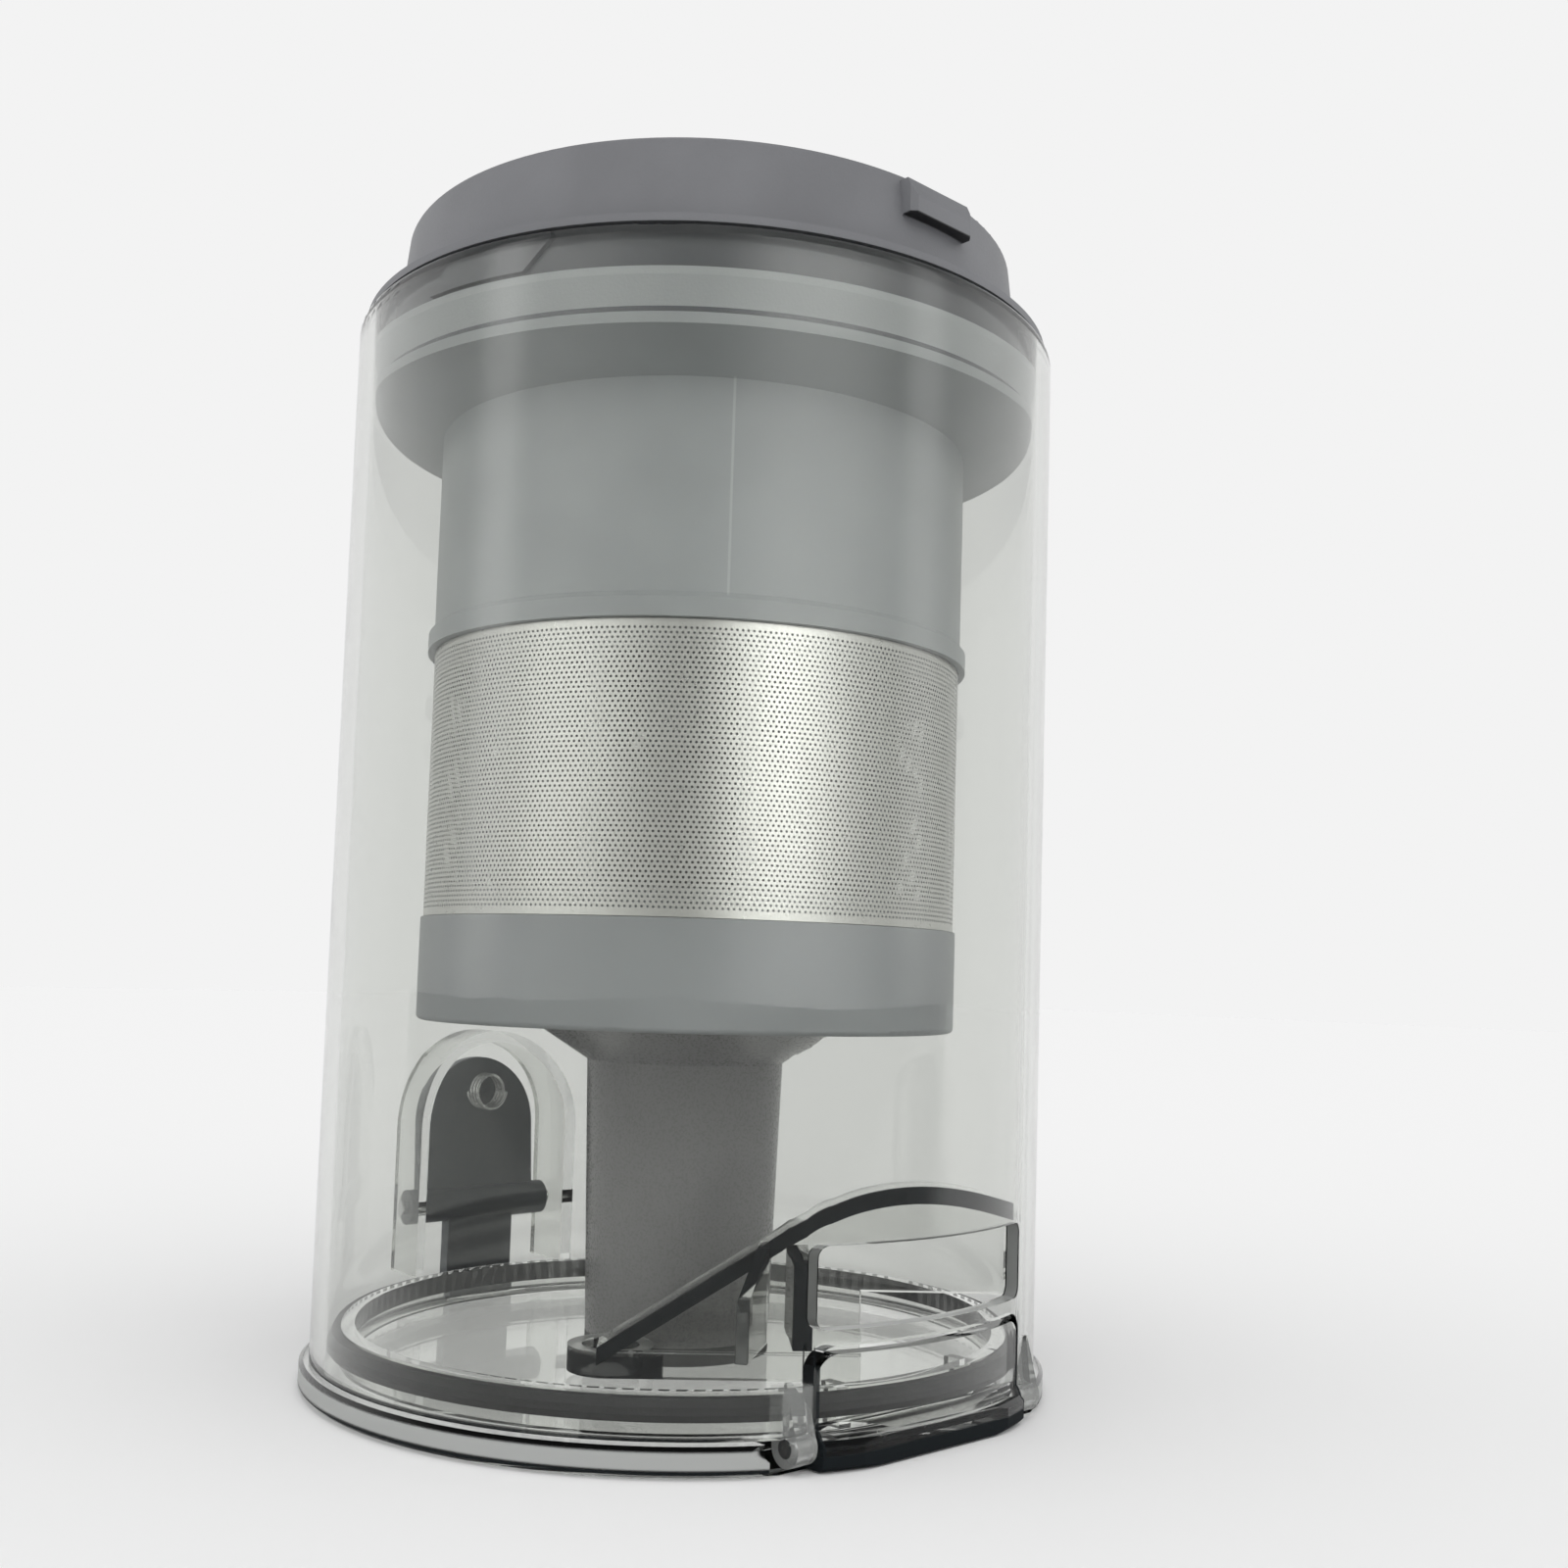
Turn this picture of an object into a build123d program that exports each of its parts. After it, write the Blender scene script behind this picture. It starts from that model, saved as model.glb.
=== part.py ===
"""Cyclone dust cup of a cordless vacuum cleaner, standing on its lid.

Millimetres, +Z up, origin at the centre of the lid's underside.
-Y is the front, with the inlet mouth and the lid's hinge. +Y is the rear, with the latch.
"""
import os
from math import cos, radians, sin

from build123d import *

os.makedirs("parts", exist_ok=True)

# Dust cup
cup_outer_d = 110.0
cup_wall = 2.2
cup_height = 155.0
cup_rim_round = 1.6

# Lid
lid_plate_t = 3.7
lid_flare = 1.4
lid_edge_chamfer = 0.6
seam_gap = 0.3
plug_wall = 2.0
plug_height = 5.3
seal_height = 3.0
seal_lift = 2.0
seal_gap = 0.3
seal_depth = 1.9
spigot_height = 2.3
spigot_gap = 0.8

# Lid tab, which closes a notch in the cup's wall
tab_width = 39.6
tab_height = 10.4
tab_gap = 0.4
tab_top_gap = 1.0
tab_corner = 3.0
tab_rib_t = 1.6
tab_rib_depth = 4.0
tab_rib_spacing = 24.0

# Hinge
hinge_in = 5.0
hinge_z = 3.0
hinge_barrel_r = 2.4
hinge_pin_r = 1.2
hinge_ear_t = 3.4
hinge_ear_r = 2.4
hinge_ear_rise = 8.0
hinge_side_gap = 0.6
hinge_pocket_w = 6.4
hinge_pocket_gap = 0.6
lid_flat_in = 0.4
running_gap = 0.05
pressed_gap = 0.02

# Inlet mouth
mouth_width = 40.0
mouth_height = 10.5
mouth_corner = 1.5
sill_height = 2.0

# Inlet guide, a ramped wall that stands across the front of the dust space
guide_angle = -40.0
guide_offset = 25.0
guide_wall = 2.2
guide_rim_depth = 7.0
guide_rim_lead = 0.7
guide_rim_height = 2.4
guide_floor_gap = 0.9
guide_nose_x = -11.0
guide_nose_rise = 4.3
guide_knee_x = 17.6
guide_knee_rise = 22.5
guide_end_x = 50.0
guide_end_rise = 23.8
guide_step_x = 26.0
guide_weld_gap = 0.15
nose_outer_r = 6.2
nose_wall = 2.0
nose_height = 3.6
nose_x = -9.3
jamb_x = 16.6
jamb_t = 2.6
jamb_depth = 14.5
jamb_floor_gap = 8.3
fin_x = 12.0
fin_t = 1.6
fin_depth = 14.0
fin_splay = 14.0
fin_floor_gap = 6.2
fin_height = 8.0
fin_slope = 6.0

# Latch at the rear
latch_out = 5.0
latch_pivot_rise = 15.0
latch_pin_r = 1.2
lever_barrel_r = 3.0
lever_arm_w = 14.0
lever_arm_t = 2.6
lever_paddle_w = 24.0
lever_paddle_t = 2.4
lever_paddle_lean = 1.8
lever_paddle_setback = 1.0
lever_edge_round = 0.5
lever_grip_count = 3
lever_grip_pitch = 3.2
lever_grip_r = 0.7
hook_low_z = 0.5
hook_height = 1.5
hook_reach = 1.2
hook_gap = 0.3
ledge_clearance = 1.6
housing_width = 34.0
housing_wall = 2.0
housing_height = 42.0
housing_foot_rise = 4.0
housing_depth = 8.0
lever_side_gap = 0.6
spring_r = 3.0
spring_wire = 0.7
spring_turns = 3.5
spring_drop = 6.0
spring_seat_gap = 0.3

# Cap on top of the cyclone
cap_height = 14.6
cap_inset = 5.5
cap_draft = 1.5
cap_foot_t = 1.1
cap_foot_inset = 1.0
cap_fillet = 1.4
cap_edge_round = 0.8
rest_gap = 0.3
neck_gap = 1.2
neck_wall = 5.1
neck_depth = 11.7
neck_fillet = 1.0
seat_shelf = 2.4
seat_ledge = 0.6
seat_ledge_height = 2.2
lug_width = 12.6
lug_height = 5.2
lug_drop = 1.0
lug_proud = 2.6
lug_chamfer = 1.4
lug_side_chamfer = 0.8
pad_width = 17.0
pad_lean = 5.0
pad_height = 5.0
pad_proud = 0.7
pad_count = 3
pad_angle = -75.0

# Lip seal round the neck
lip_height = 5.0
lip_lift = 0.9
lip_depth = 2.0
lip_gap = 0.2
lip_thin = 1.1

# Shroud
shroud_r = 41.6
shroud_wall = 2.0
shroud_length = 33.4
flange_gap = 0.5
flange_edge_t = 1.5
flange_drop = 3.2
flange_socket_gap = 0.1
collar_proud = 0.9
collar_height = 3.6

# Mesh and its cage
mesh_height = 40.4
mesh_r = 41.4
mesh_t = 0.4
mesh_end_gap = 0.1
cage_gap = 0.1
cage_wall = 2.0
cage_ring_height = 4.0
cage_bar_count = 12
cage_bar_w = 3.0
cage_spigot = 6.0
cage_spigot_gap = 0.15

# Lower skirt
skirt_r = 41.8
skirt_wall = 2.2
skirt_height = 15.4
skirt_floor_t = 2.0
skirt_edge_round = 0.8

# Dust funnel, tube and inner bowl
funnel_r = 24.2
funnel_drop = 5.6
funnel_gap = 0.15
tube_top_r = 15.4
tube_low_r = 14.2
tube_wall = 1.6
bowl_flange = 2.6
bowl_flange_t = 1.8
bowl_r = 35.5
bowl_height = 35.0
bowl_wall = 1.8
tube_seal_height = 2.6
tube_seal_gap = 0.3

# Secondary cones and vortex finders
cone_count = 8
cone_circle_r = 26.5
cone_top_r = 9.2
cone_tip_r = 4.4
cone_wall = 1.3
cone_barrel = 15.0
cone_dip = 3.0
cone_plate_t = 2.5
cone_slot_w = 4.6
cone_slot_h = 9.0
finder_r = 4.8
finder_wall = 1.0
finder_length = 17.0
finder_lip_r = 6.2
finder_lip_t = 0.8
plate_gap = 0.3
gasket_t = 1.2
gasket_width = 5.0
shroud_gasket_t = 1.0
vortex_plate_t = 2.6
tip_seal_t = 2.0
tip_seal_gap = 0.1
screw_count = 4
screw_inset = 6.4
screw_head_r = 2.6
screw_head_t = 1.7
screw_head_round = 0.5
screw_slot_length = 2.8
screw_slot_width = 0.7
screw_slot_depth = 0.9
screw_shank_r = 1.3
screw_hole_gap = 0.2

# Radii that follow from the sizes above
cup_r = cup_outer_d / 2
cup_inner_r = cup_r - cup_wall
lid_r = cup_r + lid_flare
seal_r = cup_inner_r - seal_gap
plug_r = seal_r - seal_depth
neck_r = cup_inner_r - neck_gap
neck_inner_r = neck_r - neck_wall
plate_r = neck_inner_r - plate_gap
seat_r = plate_r - seat_shelf
ledge_r = seat_r - seat_ledge
flange_r = cup_inner_r - flange_gap
cap_low_r = cup_r - cap_inset
cap_top_r = cap_low_r - cap_draft
cap_foot_r = cup_r - cap_foot_inset
shroud_inner_r = shroud_r - shroud_wall
collar_r = shroud_r + collar_proud
mesh_inner_r = mesh_r - mesh_t
cage_r = mesh_inner_r - cage_gap
cage_inner_r = cage_r - cage_wall
skirt_inner_r = skirt_r - skirt_wall
finder_bore_r = finder_r - finder_wall
spigot_r = tube_low_r - tube_wall - spigot_gap
screw_circle_r = plate_r - screw_inset

# Heights of the cup and lid, from the bottom up
cup_low_z = lid_plate_t + seam_gap
cup_top_z = cup_low_z + cup_height
notch_top_z = lid_plate_t + tab_height + tab_top_gap
mouth_low_z = notch_top_z + sill_height

# Heights of the cyclone, from the cup's rim down
cap_low_z = cup_top_z + rest_gap
cap_top_z = cap_low_z + cap_height
neck_low_z = cap_low_z - neck_depth
flange_top_z = neck_low_z - flange_socket_gap
flange_edge_z = flange_top_z - flange_edge_t
tube_join_z = flange_edge_z - flange_drop
shroud_low_z = tube_join_z - shroud_length
mesh_top_z = shroud_low_z - mesh_end_gap
mesh_low_z = mesh_top_z - mesh_height
skirt_top_z = mesh_low_z - mesh_end_gap
skirt_low_z = skirt_top_z - skirt_height
funnel_low_z = skirt_low_z - funnel_drop
tube_seal_low_z = lid_plate_t + tube_seal_gap
tube_low_z = tube_seal_low_z + tube_seal_height
bowl_low_z = skirt_low_z + skirt_floor_t
bowl_top_z = bowl_low_z + bowl_height
cone_plate_low_z = flange_top_z + shroud_gasket_t
cone_plate_top_z = cone_plate_low_z + cone_plate_t
gasket_top_z = cone_plate_top_z + gasket_t
vortex_top_z = gasket_top_z + vortex_plate_t
seat_low_z = vortex_top_z + seat_ledge_height
cone_barrel_low_z = cone_plate_low_z - cone_barrel
cone_tip_z = bowl_top_z - cone_dip

# Hinge and latch axes
hinge_y = -(cup_r - hinge_in)
latch_y = cup_r + latch_out
latch_z = cup_low_z + latch_pivot_rise
housing_top_z = cup_low_z + housing_foot_rise + housing_height
housing_face_y = cup_r + housing_depth
housing_inner_w = housing_width - 2 * housing_wall
hinge_axis = Plane(origin=(0, hinge_y, hinge_z), x_dir=(0, 1, 0), z_dir=(1, 0, 0))
latch_axis = Plane(origin=(0, latch_y, latch_z), x_dir=(0, 1, 0), z_dir=(1, 0, 0))


def upright_plane(turn, distance):
    """A plane that faces outwards, turned from the front and set off from the axis."""
    along = Vector(cos(radians(turn)), sin(radians(turn)), 0)
    out = Vector(sin(radians(turn)), -cos(radians(turn)), 0)
    return Plane(origin=out * distance, x_dir=along, z_dir=out)


# The guide's front face, and its floor plan turned the same way
guide_low_z = lid_plate_t + guide_floor_gap
guide_face = upright_plane(guide_angle, guide_offset)
guide_plan = Plane(origin=(0, 0, guide_low_z), x_dir=guide_face.x_dir, z_dir=(0, 0, 1))


def finish(builder, name):
    """Label a finished piece and write its file."""
    builder.part.label = name
    export_step(builder.part, f"parts/{name}.step")


# Dust cup: a clear tube with the latch housing, hinge ears, mouth and notch
with BuildPart() as dust_cup:
    with Locations((0, 0, cup_low_z)):
        Cylinder(cup_r, cup_height, align=(Align.CENTER, Align.CENTER, Align.MIN))
    fillet(dust_cup.edges().group_by(Axis.Z)[-1], cup_rim_round)
    arch_r = housing_width / 2
    arch_inner_r = housing_inner_w / 2
    arch_z = housing_top_z - arch_r
    arch_low_z = cup_low_z + housing_foot_rise
    with BuildSketch(Plane.XZ):
        with Locations((0, arch_z)):
            Circle(arch_r)
        with Locations((0, arch_low_z)):
            Rectangle(housing_width, arch_z - arch_low_z, align=(Align.CENTER, Align.MIN))
        with Locations((0, arch_z)):
            Circle(arch_inner_r, mode=Mode.SUBTRACT)
            Rectangle(
                housing_inner_w, arch_z - arch_low_z, align=(Align.CENTER, Align.MAX), mode=Mode.SUBTRACT
            )
    extrude(amount=-housing_face_y)
    ear_low_x = tab_width / 2 + hinge_side_gap
    for side in (1, -1):
        with BuildSketch(hinge_axis.offset(side * (ear_low_x + hinge_ear_t / 2))):
            Circle(hinge_ear_r)
            with BuildLine():
                Polyline(
                    (-hinge_ear_r, 0),
                    (hinge_ear_r, 0),
                    (hinge_ear_r, hinge_ear_rise),
                    (0, hinge_ear_rise),
                    close=True,
                )
            make_face()
        extrude(amount=hinge_ear_t / 2, both=True)
    with Locations((0, 0, cup_low_z)):
        Cylinder(
            cup_inner_r, 2 * cup_height, align=(Align.CENTER, Align.CENTER, Align.MIN), mode=Mode.SUBTRACT
        )
    with BuildSketch(hinge_axis):
        Circle(hinge_pin_r + pressed_gap)
    extrude(amount=ear_low_x + hinge_ear_t, both=True, mode=Mode.SUBTRACT)
    with BuildSketch(latch_axis):
        Circle(latch_pin_r + pressed_gap)
    extrude(amount=housing_width, both=True, mode=Mode.SUBTRACT)
    notch_w = tab_width + 2 * tab_gap
    with BuildSketch(Plane.XZ):
        with Locations((0, notch_top_z)):
            RectangleRounded(notch_w, 2 * notch_top_z, tab_corner, align=(Align.CENTER, Align.MAX))
    extrude(amount=cup_outer_d, mode=Mode.SUBTRACT)
    with BuildSketch(Plane.XZ):
        with Locations((0, mouth_low_z)):
            RectangleRounded(mouth_width, mouth_height, mouth_corner, align=(Align.CENTER, Align.MIN))
    extrude(amount=cup_outer_d, mode=Mode.SUBTRACT)
finish(dust_cup, "dust_cup")


def guide_top(drop):
    """The guide's top line, a straight ramp and a tangent crown, lowered by drop."""
    start = (guide_nose_x, guide_low_z + guide_nose_rise - drop)
    knee = (guide_knee_x, guide_low_z + guide_knee_rise - drop)
    end = (guide_end_x, guide_low_z + guide_end_rise - drop)
    ramp = Line(start, knee)
    TangentArc(knee, end, tangent=ramp % 1)


# Inlet guide: a ramped wall with a thick rim, a rounded nose, a jamb and a fin
with BuildPart() as inlet_guide:
    with BuildSketch(guide_face):
        with BuildLine():
            guide_top(0)
            Polyline(
                (guide_end_x, guide_low_z + guide_end_rise),
                (guide_end_x, mouth_low_z),
                (guide_step_x, mouth_low_z),
                (guide_step_x, guide_low_z),
                (guide_nose_x, guide_low_z),
                (guide_nose_x, guide_low_z + guide_nose_rise),
            )
        make_face()
    extrude(amount=-guide_wall)
    with BuildSketch(guide_face.offset(guide_rim_lead)):
        with BuildLine():
            guide_top(0)
            guide_top(guide_rim_height)
            Line(
                (guide_nose_x, guide_low_z + guide_nose_rise),
                (guide_nose_x, guide_low_z + guide_nose_rise - guide_rim_height),
            )
            Line(
                (guide_end_x, guide_low_z + guide_end_rise),
                (guide_end_x, guide_low_z + guide_end_rise - guide_rim_height),
            )
        make_face()
    extrude(amount=-guide_rim_depth)
    with BuildSketch(guide_face):
        with Locations((jamb_x, lid_plate_t + jamb_floor_gap)):
            Rectangle(jamb_t, guide_knee_rise - jamb_floor_gap - jamb_t, align=(Align.CENTER, Align.MIN))
    extrude(amount=jamb_depth)
    fin_low_z = lid_plate_t + fin_floor_gap
    fin_plane = Plane(
        origin=guide_face.from_local_coords((fin_x, fin_low_z, 0)),
        x_dir=guide_face.z_dir.rotate(Axis.Z, -fin_splay),
        z_dir=guide_face.x_dir.rotate(Axis.Z, 180 - fin_splay),
    )
    with BuildSketch(fin_plane):
        with BuildLine():
            Polyline(
                (-guide_wall / 2, 0),
                (fin_depth, 0),
                (fin_depth, fin_height),
                (-guide_wall / 2, fin_height + fin_slope),
                close=True,
            )
        make_face()
    extrude(amount=fin_t / 2, both=True)
    nose_centre = (nose_x, -guide_offset + nose_outer_r)
    with BuildSketch(guide_plan):
        with Locations(nose_centre):
            Circle(nose_outer_r)
            Circle(nose_outer_r - nose_wall, mode=Mode.SUBTRACT)
    extrude(amount=nose_height)
    Cylinder(cup_inner_r - guide_weld_gap, 4 * cup_height, mode=Mode.INTERSECT)
finish(inlet_guide, "inlet_guide")

# Lid: a clear plate with a plug wall, a spigot, the tab and the hinge barrel
with BuildPart() as lid:
    Cylinder(lid_r, lid_plate_t, align=(Align.CENTER, Align.CENTER, Align.MIN))
    chamfer(lid.edges().filter_by(GeomType.CIRCLE), lid_edge_chamfer)
    with Locations((0, 0, lid_plate_t)):
        Cylinder(spigot_r, spigot_height, align=(Align.CENTER, Align.CENTER, Align.MIN))
    with BuildSketch(Plane.XY.offset(lid_plate_t)):
        Circle(plug_r)
        Circle(plug_r - plug_wall, mode=Mode.SUBTRACT)
    extrude(amount=plug_height)
    with BuildSketch(Plane.XY.offset(lid_plate_t)):
        for rib_x in (-tab_rib_spacing / 2, tab_rib_spacing / 2):
            with Locations((rib_x, plug_wall - plug_r)):
                Rectangle(tab_rib_t, 2 * tab_rib_depth)
        Circle(plug_r - plug_wall / 2, mode=Mode.INTERSECT)
    extrude(amount=plug_height)
    with BuildSketch(hinge_axis):
        Circle(hinge_barrel_r)
    extrude(amount=tab_width / 2, both=True)
    tab_low_z = lid_plate_t / 2
    with BuildSketch(Plane.XY.offset(tab_low_z)):
        Circle(cup_r)
        Circle(cup_inner_r + pressed_gap, mode=Mode.SUBTRACT)
        with Locations((0, -cup_r)):
            Rectangle(tab_width, cup_r, mode=Mode.INTERSECT)
    extrude(amount=lid_plate_t + tab_height - tab_low_z)
    fillet(lid.edges().filter_by(Axis.Y).group_by(Axis.Z)[-1], tab_corner)
    with BuildSketch(Plane.XY):
        with Locations((0, -cup_r + lid_flat_in)):
            Rectangle(cup_outer_d, cup_r, align=(Align.CENTER, Align.MAX))
    extrude(amount=lid_plate_t, mode=Mode.SUBTRACT)
    for side in (1, -1):
        with BuildSketch(hinge_axis.offset(side * (tab_width + hinge_pocket_w) / 2)):
            Circle(hinge_ear_r + hinge_pocket_gap)
            Rectangle(cup_r / 2, 2 * lid_plate_t, align=(Align.MAX, Align.CENTER))
        extrude(amount=hinge_pocket_w / 2, both=True, mode=Mode.SUBTRACT)
    with BuildSketch(hinge_axis):
        Circle(hinge_pin_r + running_gap)
    extrude(amount=tab_width, both=True, mode=Mode.SUBTRACT)
    with BuildSketch(Plane.XY):
        with Locations((0, lid_r - hook_reach - hook_gap)):
            Rectangle(lever_arm_w + 2 * ledge_clearance, cup_r, align=(Align.CENTER, Align.MIN))
    extrude(amount=hook_low_z + hook_height + hook_gap, mode=Mode.SUBTRACT)
finish(lid, "lid")

# Seal ring on the lid's plug
with BuildPart() as lid_seal:
    seal_low_z = lid_plate_t + seal_lift
    with BuildSketch(Plane.XZ):
        with BuildLine():
            Polyline(
                (plug_r, seal_low_z),
                (seal_r - seal_depth / 3, seal_low_z),
                (seal_r, seal_low_z + seal_height / 3),
                (seal_r, seal_low_z + 2 * seal_height / 3),
                (seal_r - seal_depth / 3, seal_low_z + seal_height),
                (plug_r, seal_low_z + seal_height),
                close=True,
            )
        make_face()
    revolve(axis=Axis.Z)
finish(lid_seal, "lid_seal")

# Hinge pin, pressed into the cup's ears
with BuildPart() as hinge_pin:
    with BuildSketch(hinge_axis):
        Circle(hinge_pin_r)
    extrude(amount=tab_width / 2 + hinge_side_gap + hinge_ear_t, both=True)
finish(hinge_pin, "hinge_pin")

# Latch lever: paddle above the pivot, arm and hook below it
with BuildPart() as latch_lever:
    paddle_r = lever_paddle_w / 2
    paddle_in = lever_paddle_setback
    paddle_rise = housing_top_z - housing_wall - latch_z - (housing_inner_w - lever_paddle_w) / 2
    with BuildSketch(latch_axis):
        with BuildLine():
            Polyline(
                (-paddle_in, 0),
                (-paddle_in + lever_paddle_t, 0),
                (-paddle_in + lever_paddle_t + lever_paddle_lean, paddle_rise),
                (-paddle_in + lever_paddle_lean, paddle_rise),
                close=True,
            )
        make_face()
    extrude(amount=paddle_r, both=True)
    with BuildSketch(Plane.XZ):
        with Locations((0, latch_z + paddle_rise - paddle_r)):
            Circle(paddle_r)
        with Locations((0, latch_z - lever_barrel_r)):
            Rectangle(
                lever_paddle_w, paddle_rise - paddle_r + lever_barrel_r, align=(Align.CENTER, Align.MIN)
            )
    extrude(amount=-2 * cup_r, mode=Mode.INTERSECT)
    paddle_front = latch_lever.faces().sort_by(Axis.Y)[-1]
    fillet(paddle_front.edges().sort_by(Axis.Z)[1:], lever_edge_round)
    with BuildSketch(latch_axis):
        Circle(lever_barrel_r)
    extrude(amount=housing_inner_w / 2 - lever_side_gap, both=True)
    arm_in = lid_r + ledge_clearance - latch_y
    hook_tip = lid_r - hook_reach - latch_y
    hook_low = hook_low_z - latch_z
    with BuildSketch(latch_axis):
        with BuildLine():
            Polyline(
                (arm_in, 0),
                (arm_in, hook_low + hook_height),
                (hook_tip, hook_low + hook_height),
                (hook_tip, hook_low + hook_height / 2),
                (hook_tip + hook_height / 2, hook_low),
                (arm_in + lever_arm_t, hook_low),
                (arm_in + lever_arm_t, 0),
                close=True,
            )
        make_face()
    extrude(amount=lever_arm_w / 2, both=True)
    lean = lever_paddle_lean / paddle_rise
    for step in range(lever_grip_count):
        grip_rise = paddle_rise - paddle_r - step * lever_grip_pitch
        with BuildSketch(latch_axis):
            with Locations((-paddle_in + lever_paddle_t + lean * grip_rise, grip_rise)):
                Circle(lever_grip_r)
        extrude(amount=paddle_r - 2 * lever_paddle_t, both=True)
    with BuildSketch(latch_axis):
        Circle(latch_pin_r + running_gap)
    extrude(amount=housing_width, both=True, mode=Mode.SUBTRACT)
finish(latch_lever, "latch_lever")

# Latch pin, pressed into the sides of the housing
with BuildPart() as latch_pin:
    with BuildSketch(latch_axis):
        Circle(latch_pin_r)
    extrude(amount=housing_width / 2, both=True)
finish(latch_pin, "latch_pin")

# Latch spring, a short coil between the cup's wall and the paddle
with BuildPart() as latch_spring:
    spring_rise = paddle_rise - spring_drop
    paddle_face_y = latch_y - paddle_in + lean * (spring_rise - spring_r)
    spring_low_y = cup_r + spring_wire / 2 + spring_seat_gap
    spring_high_y = paddle_face_y - spring_wire / 2 - spring_seat_gap
    spring_travel = spring_high_y - spring_low_y
    with BuildLine() as coil:
        Helix(
            pitch=spring_travel / spring_turns,
            height=spring_travel,
            radius=spring_r,
            center=(0, spring_low_y, latch_z + spring_rise),
            direction=(0, 1, 0),
        )
    with BuildSketch(Plane(origin=coil.line @ 0, z_dir=coil.line % 0)):
        Circle(spring_wire / 2)
    sweep(path=coil.line, is_frenet=True)
finish(latch_spring, "latch_spring")

# Top cap: drafted ring with a foot on the cup's rim, a padded neck and two bayonet lugs
with BuildPart() as top_cap:
    lip_low_z = neck_low_z + lip_lift
    pad_low_z = cap_low_z - pad_height
    neck_mid_r = (neck_r + neck_inner_r) / 2
    for copy in range(pad_count):
        with BuildSketch(upright_plane(pad_angle + copy * 360 / pad_count, neck_mid_r)):
            with BuildLine():
                Polyline(
                    (-pad_width / 2 - pad_lean / 2, pad_low_z),
                    (pad_width / 2 - pad_lean / 2, pad_low_z),
                    (pad_width / 2 + pad_lean / 2, cap_low_z),
                    (-pad_width / 2 + pad_lean / 2, cap_low_z),
                    close=True,
                )
            make_face()
        extrude(amount=neck_wall)
    Cylinder(neck_r + pad_proud, 4 * cup_height, mode=Mode.INTERSECT)
    with BuildSketch(Plane.XZ) as cap_profile:
        with BuildLine():
            Polyline(
                (seat_r, cap_top_z),
                (cap_top_r, cap_top_z),
                (cap_low_r, cap_low_z + cap_foot_t),
                (cap_foot_r, cap_low_z + cap_foot_t),
                (cap_foot_r, cap_low_z),
                (neck_r, cap_low_z),
                (neck_r, lip_low_z + lip_height),
                (neck_r - lip_depth, lip_low_z + lip_height),
                (neck_r - lip_depth, lip_low_z),
                (neck_r, lip_low_z),
                (neck_r, neck_low_z),
                (neck_inner_r, neck_low_z),
                (neck_inner_r, vortex_top_z),
                (ledge_r, vortex_top_z),
                (ledge_r, seat_low_z),
                (seat_r, seat_low_z),
                close=True,
            )
        make_face()
        fillet(cap_profile.vertices().group_by(Axis.Y)[-1], cap_edge_round)
        for corner, corner_round in (
            ((cap_low_r, cap_low_z + cap_foot_t), cap_fillet),
            ((neck_r, cap_low_z), neck_fillet),
        ):
            fillet(cap_profile.vertices().sort_by_distance(corner)[0], corner_round)
    revolve(axis=Axis.Z)
    lug_top_z = cap_top_z - lug_drop
    lug_r = cap_top_r + lug_proud
    with BuildSketch(Plane.YZ):
        with BuildLine():
            Polyline(
                (seat_r + cap_draft, lug_top_z),
                (lug_r - lug_chamfer, lug_top_z),
                (lug_r, lug_top_z - 2 * lug_chamfer),
                (lug_r, lug_top_z - lug_height),
                (seat_r + cap_draft, lug_top_z - lug_height),
                close=True,
            )
        make_face()
        mirror(about=Plane.YZ)
    extrude(amount=lug_width / 2, both=True)
    lug_sides = top_cap.edges().filter_by(Axis.Z).filter_by_position(
        Axis.Z, lug_top_z - lug_height, lug_top_z
    )
    chamfer(lug_sides, lug_side_chamfer)
finish(top_cap, "top_cap")

# Lip seal in the neck's groove, with a thin lip that leans up to the cup's wall
with BuildPart() as lip_seal:
    lip_r = cup_inner_r - lip_gap
    groove_r = neck_r - lip_depth
    with BuildSketch(Plane.XZ):
        with BuildLine():
            Polyline(
                (groove_r, lip_low_z),
                (neck_r, lip_low_z),
                (lip_r, lip_low_z + lip_height - lip_thin),
                (lip_r, lip_low_z + lip_height),
                (neck_r - lip_thin / 2, lip_low_z + 2 * lip_thin),
                (groove_r, lip_low_z + 2 * lip_thin),
                close=True,
            )
        make_face()
    revolve(axis=Axis.Z)
finish(lip_seal, "lip_seal")

# Shroud: flange with a conical underside, tube and a collar above the mesh
with BuildPart() as shroud:
    with BuildSketch(Plane.XZ):
        with BuildLine():
            Polyline(
                (shroud_inner_r, flange_top_z),
                (flange_r, flange_top_z),
                (flange_r, flange_edge_z),
                (shroud_r, tube_join_z),
                (shroud_r, shroud_low_z + collar_height),
                (collar_r, shroud_low_z + collar_height - collar_proud),
                (collar_r, shroud_low_z),
                (shroud_inner_r, shroud_low_z),
                close=True,
            )
        make_face()
    revolve(axis=Axis.Z)
finish(shroud, "shroud")

# Flat gasket between the shroud's flange and the cone block
with BuildPart() as shroud_gasket:
    with BuildSketch(Plane.XY.offset(flange_top_z)):
        Circle(plate_r)
        Circle(plate_r - gasket_width, mode=Mode.SUBTRACT)
    extrude(amount=shroud_gasket_t)
finish(shroud_gasket, "shroud_gasket")

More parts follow.
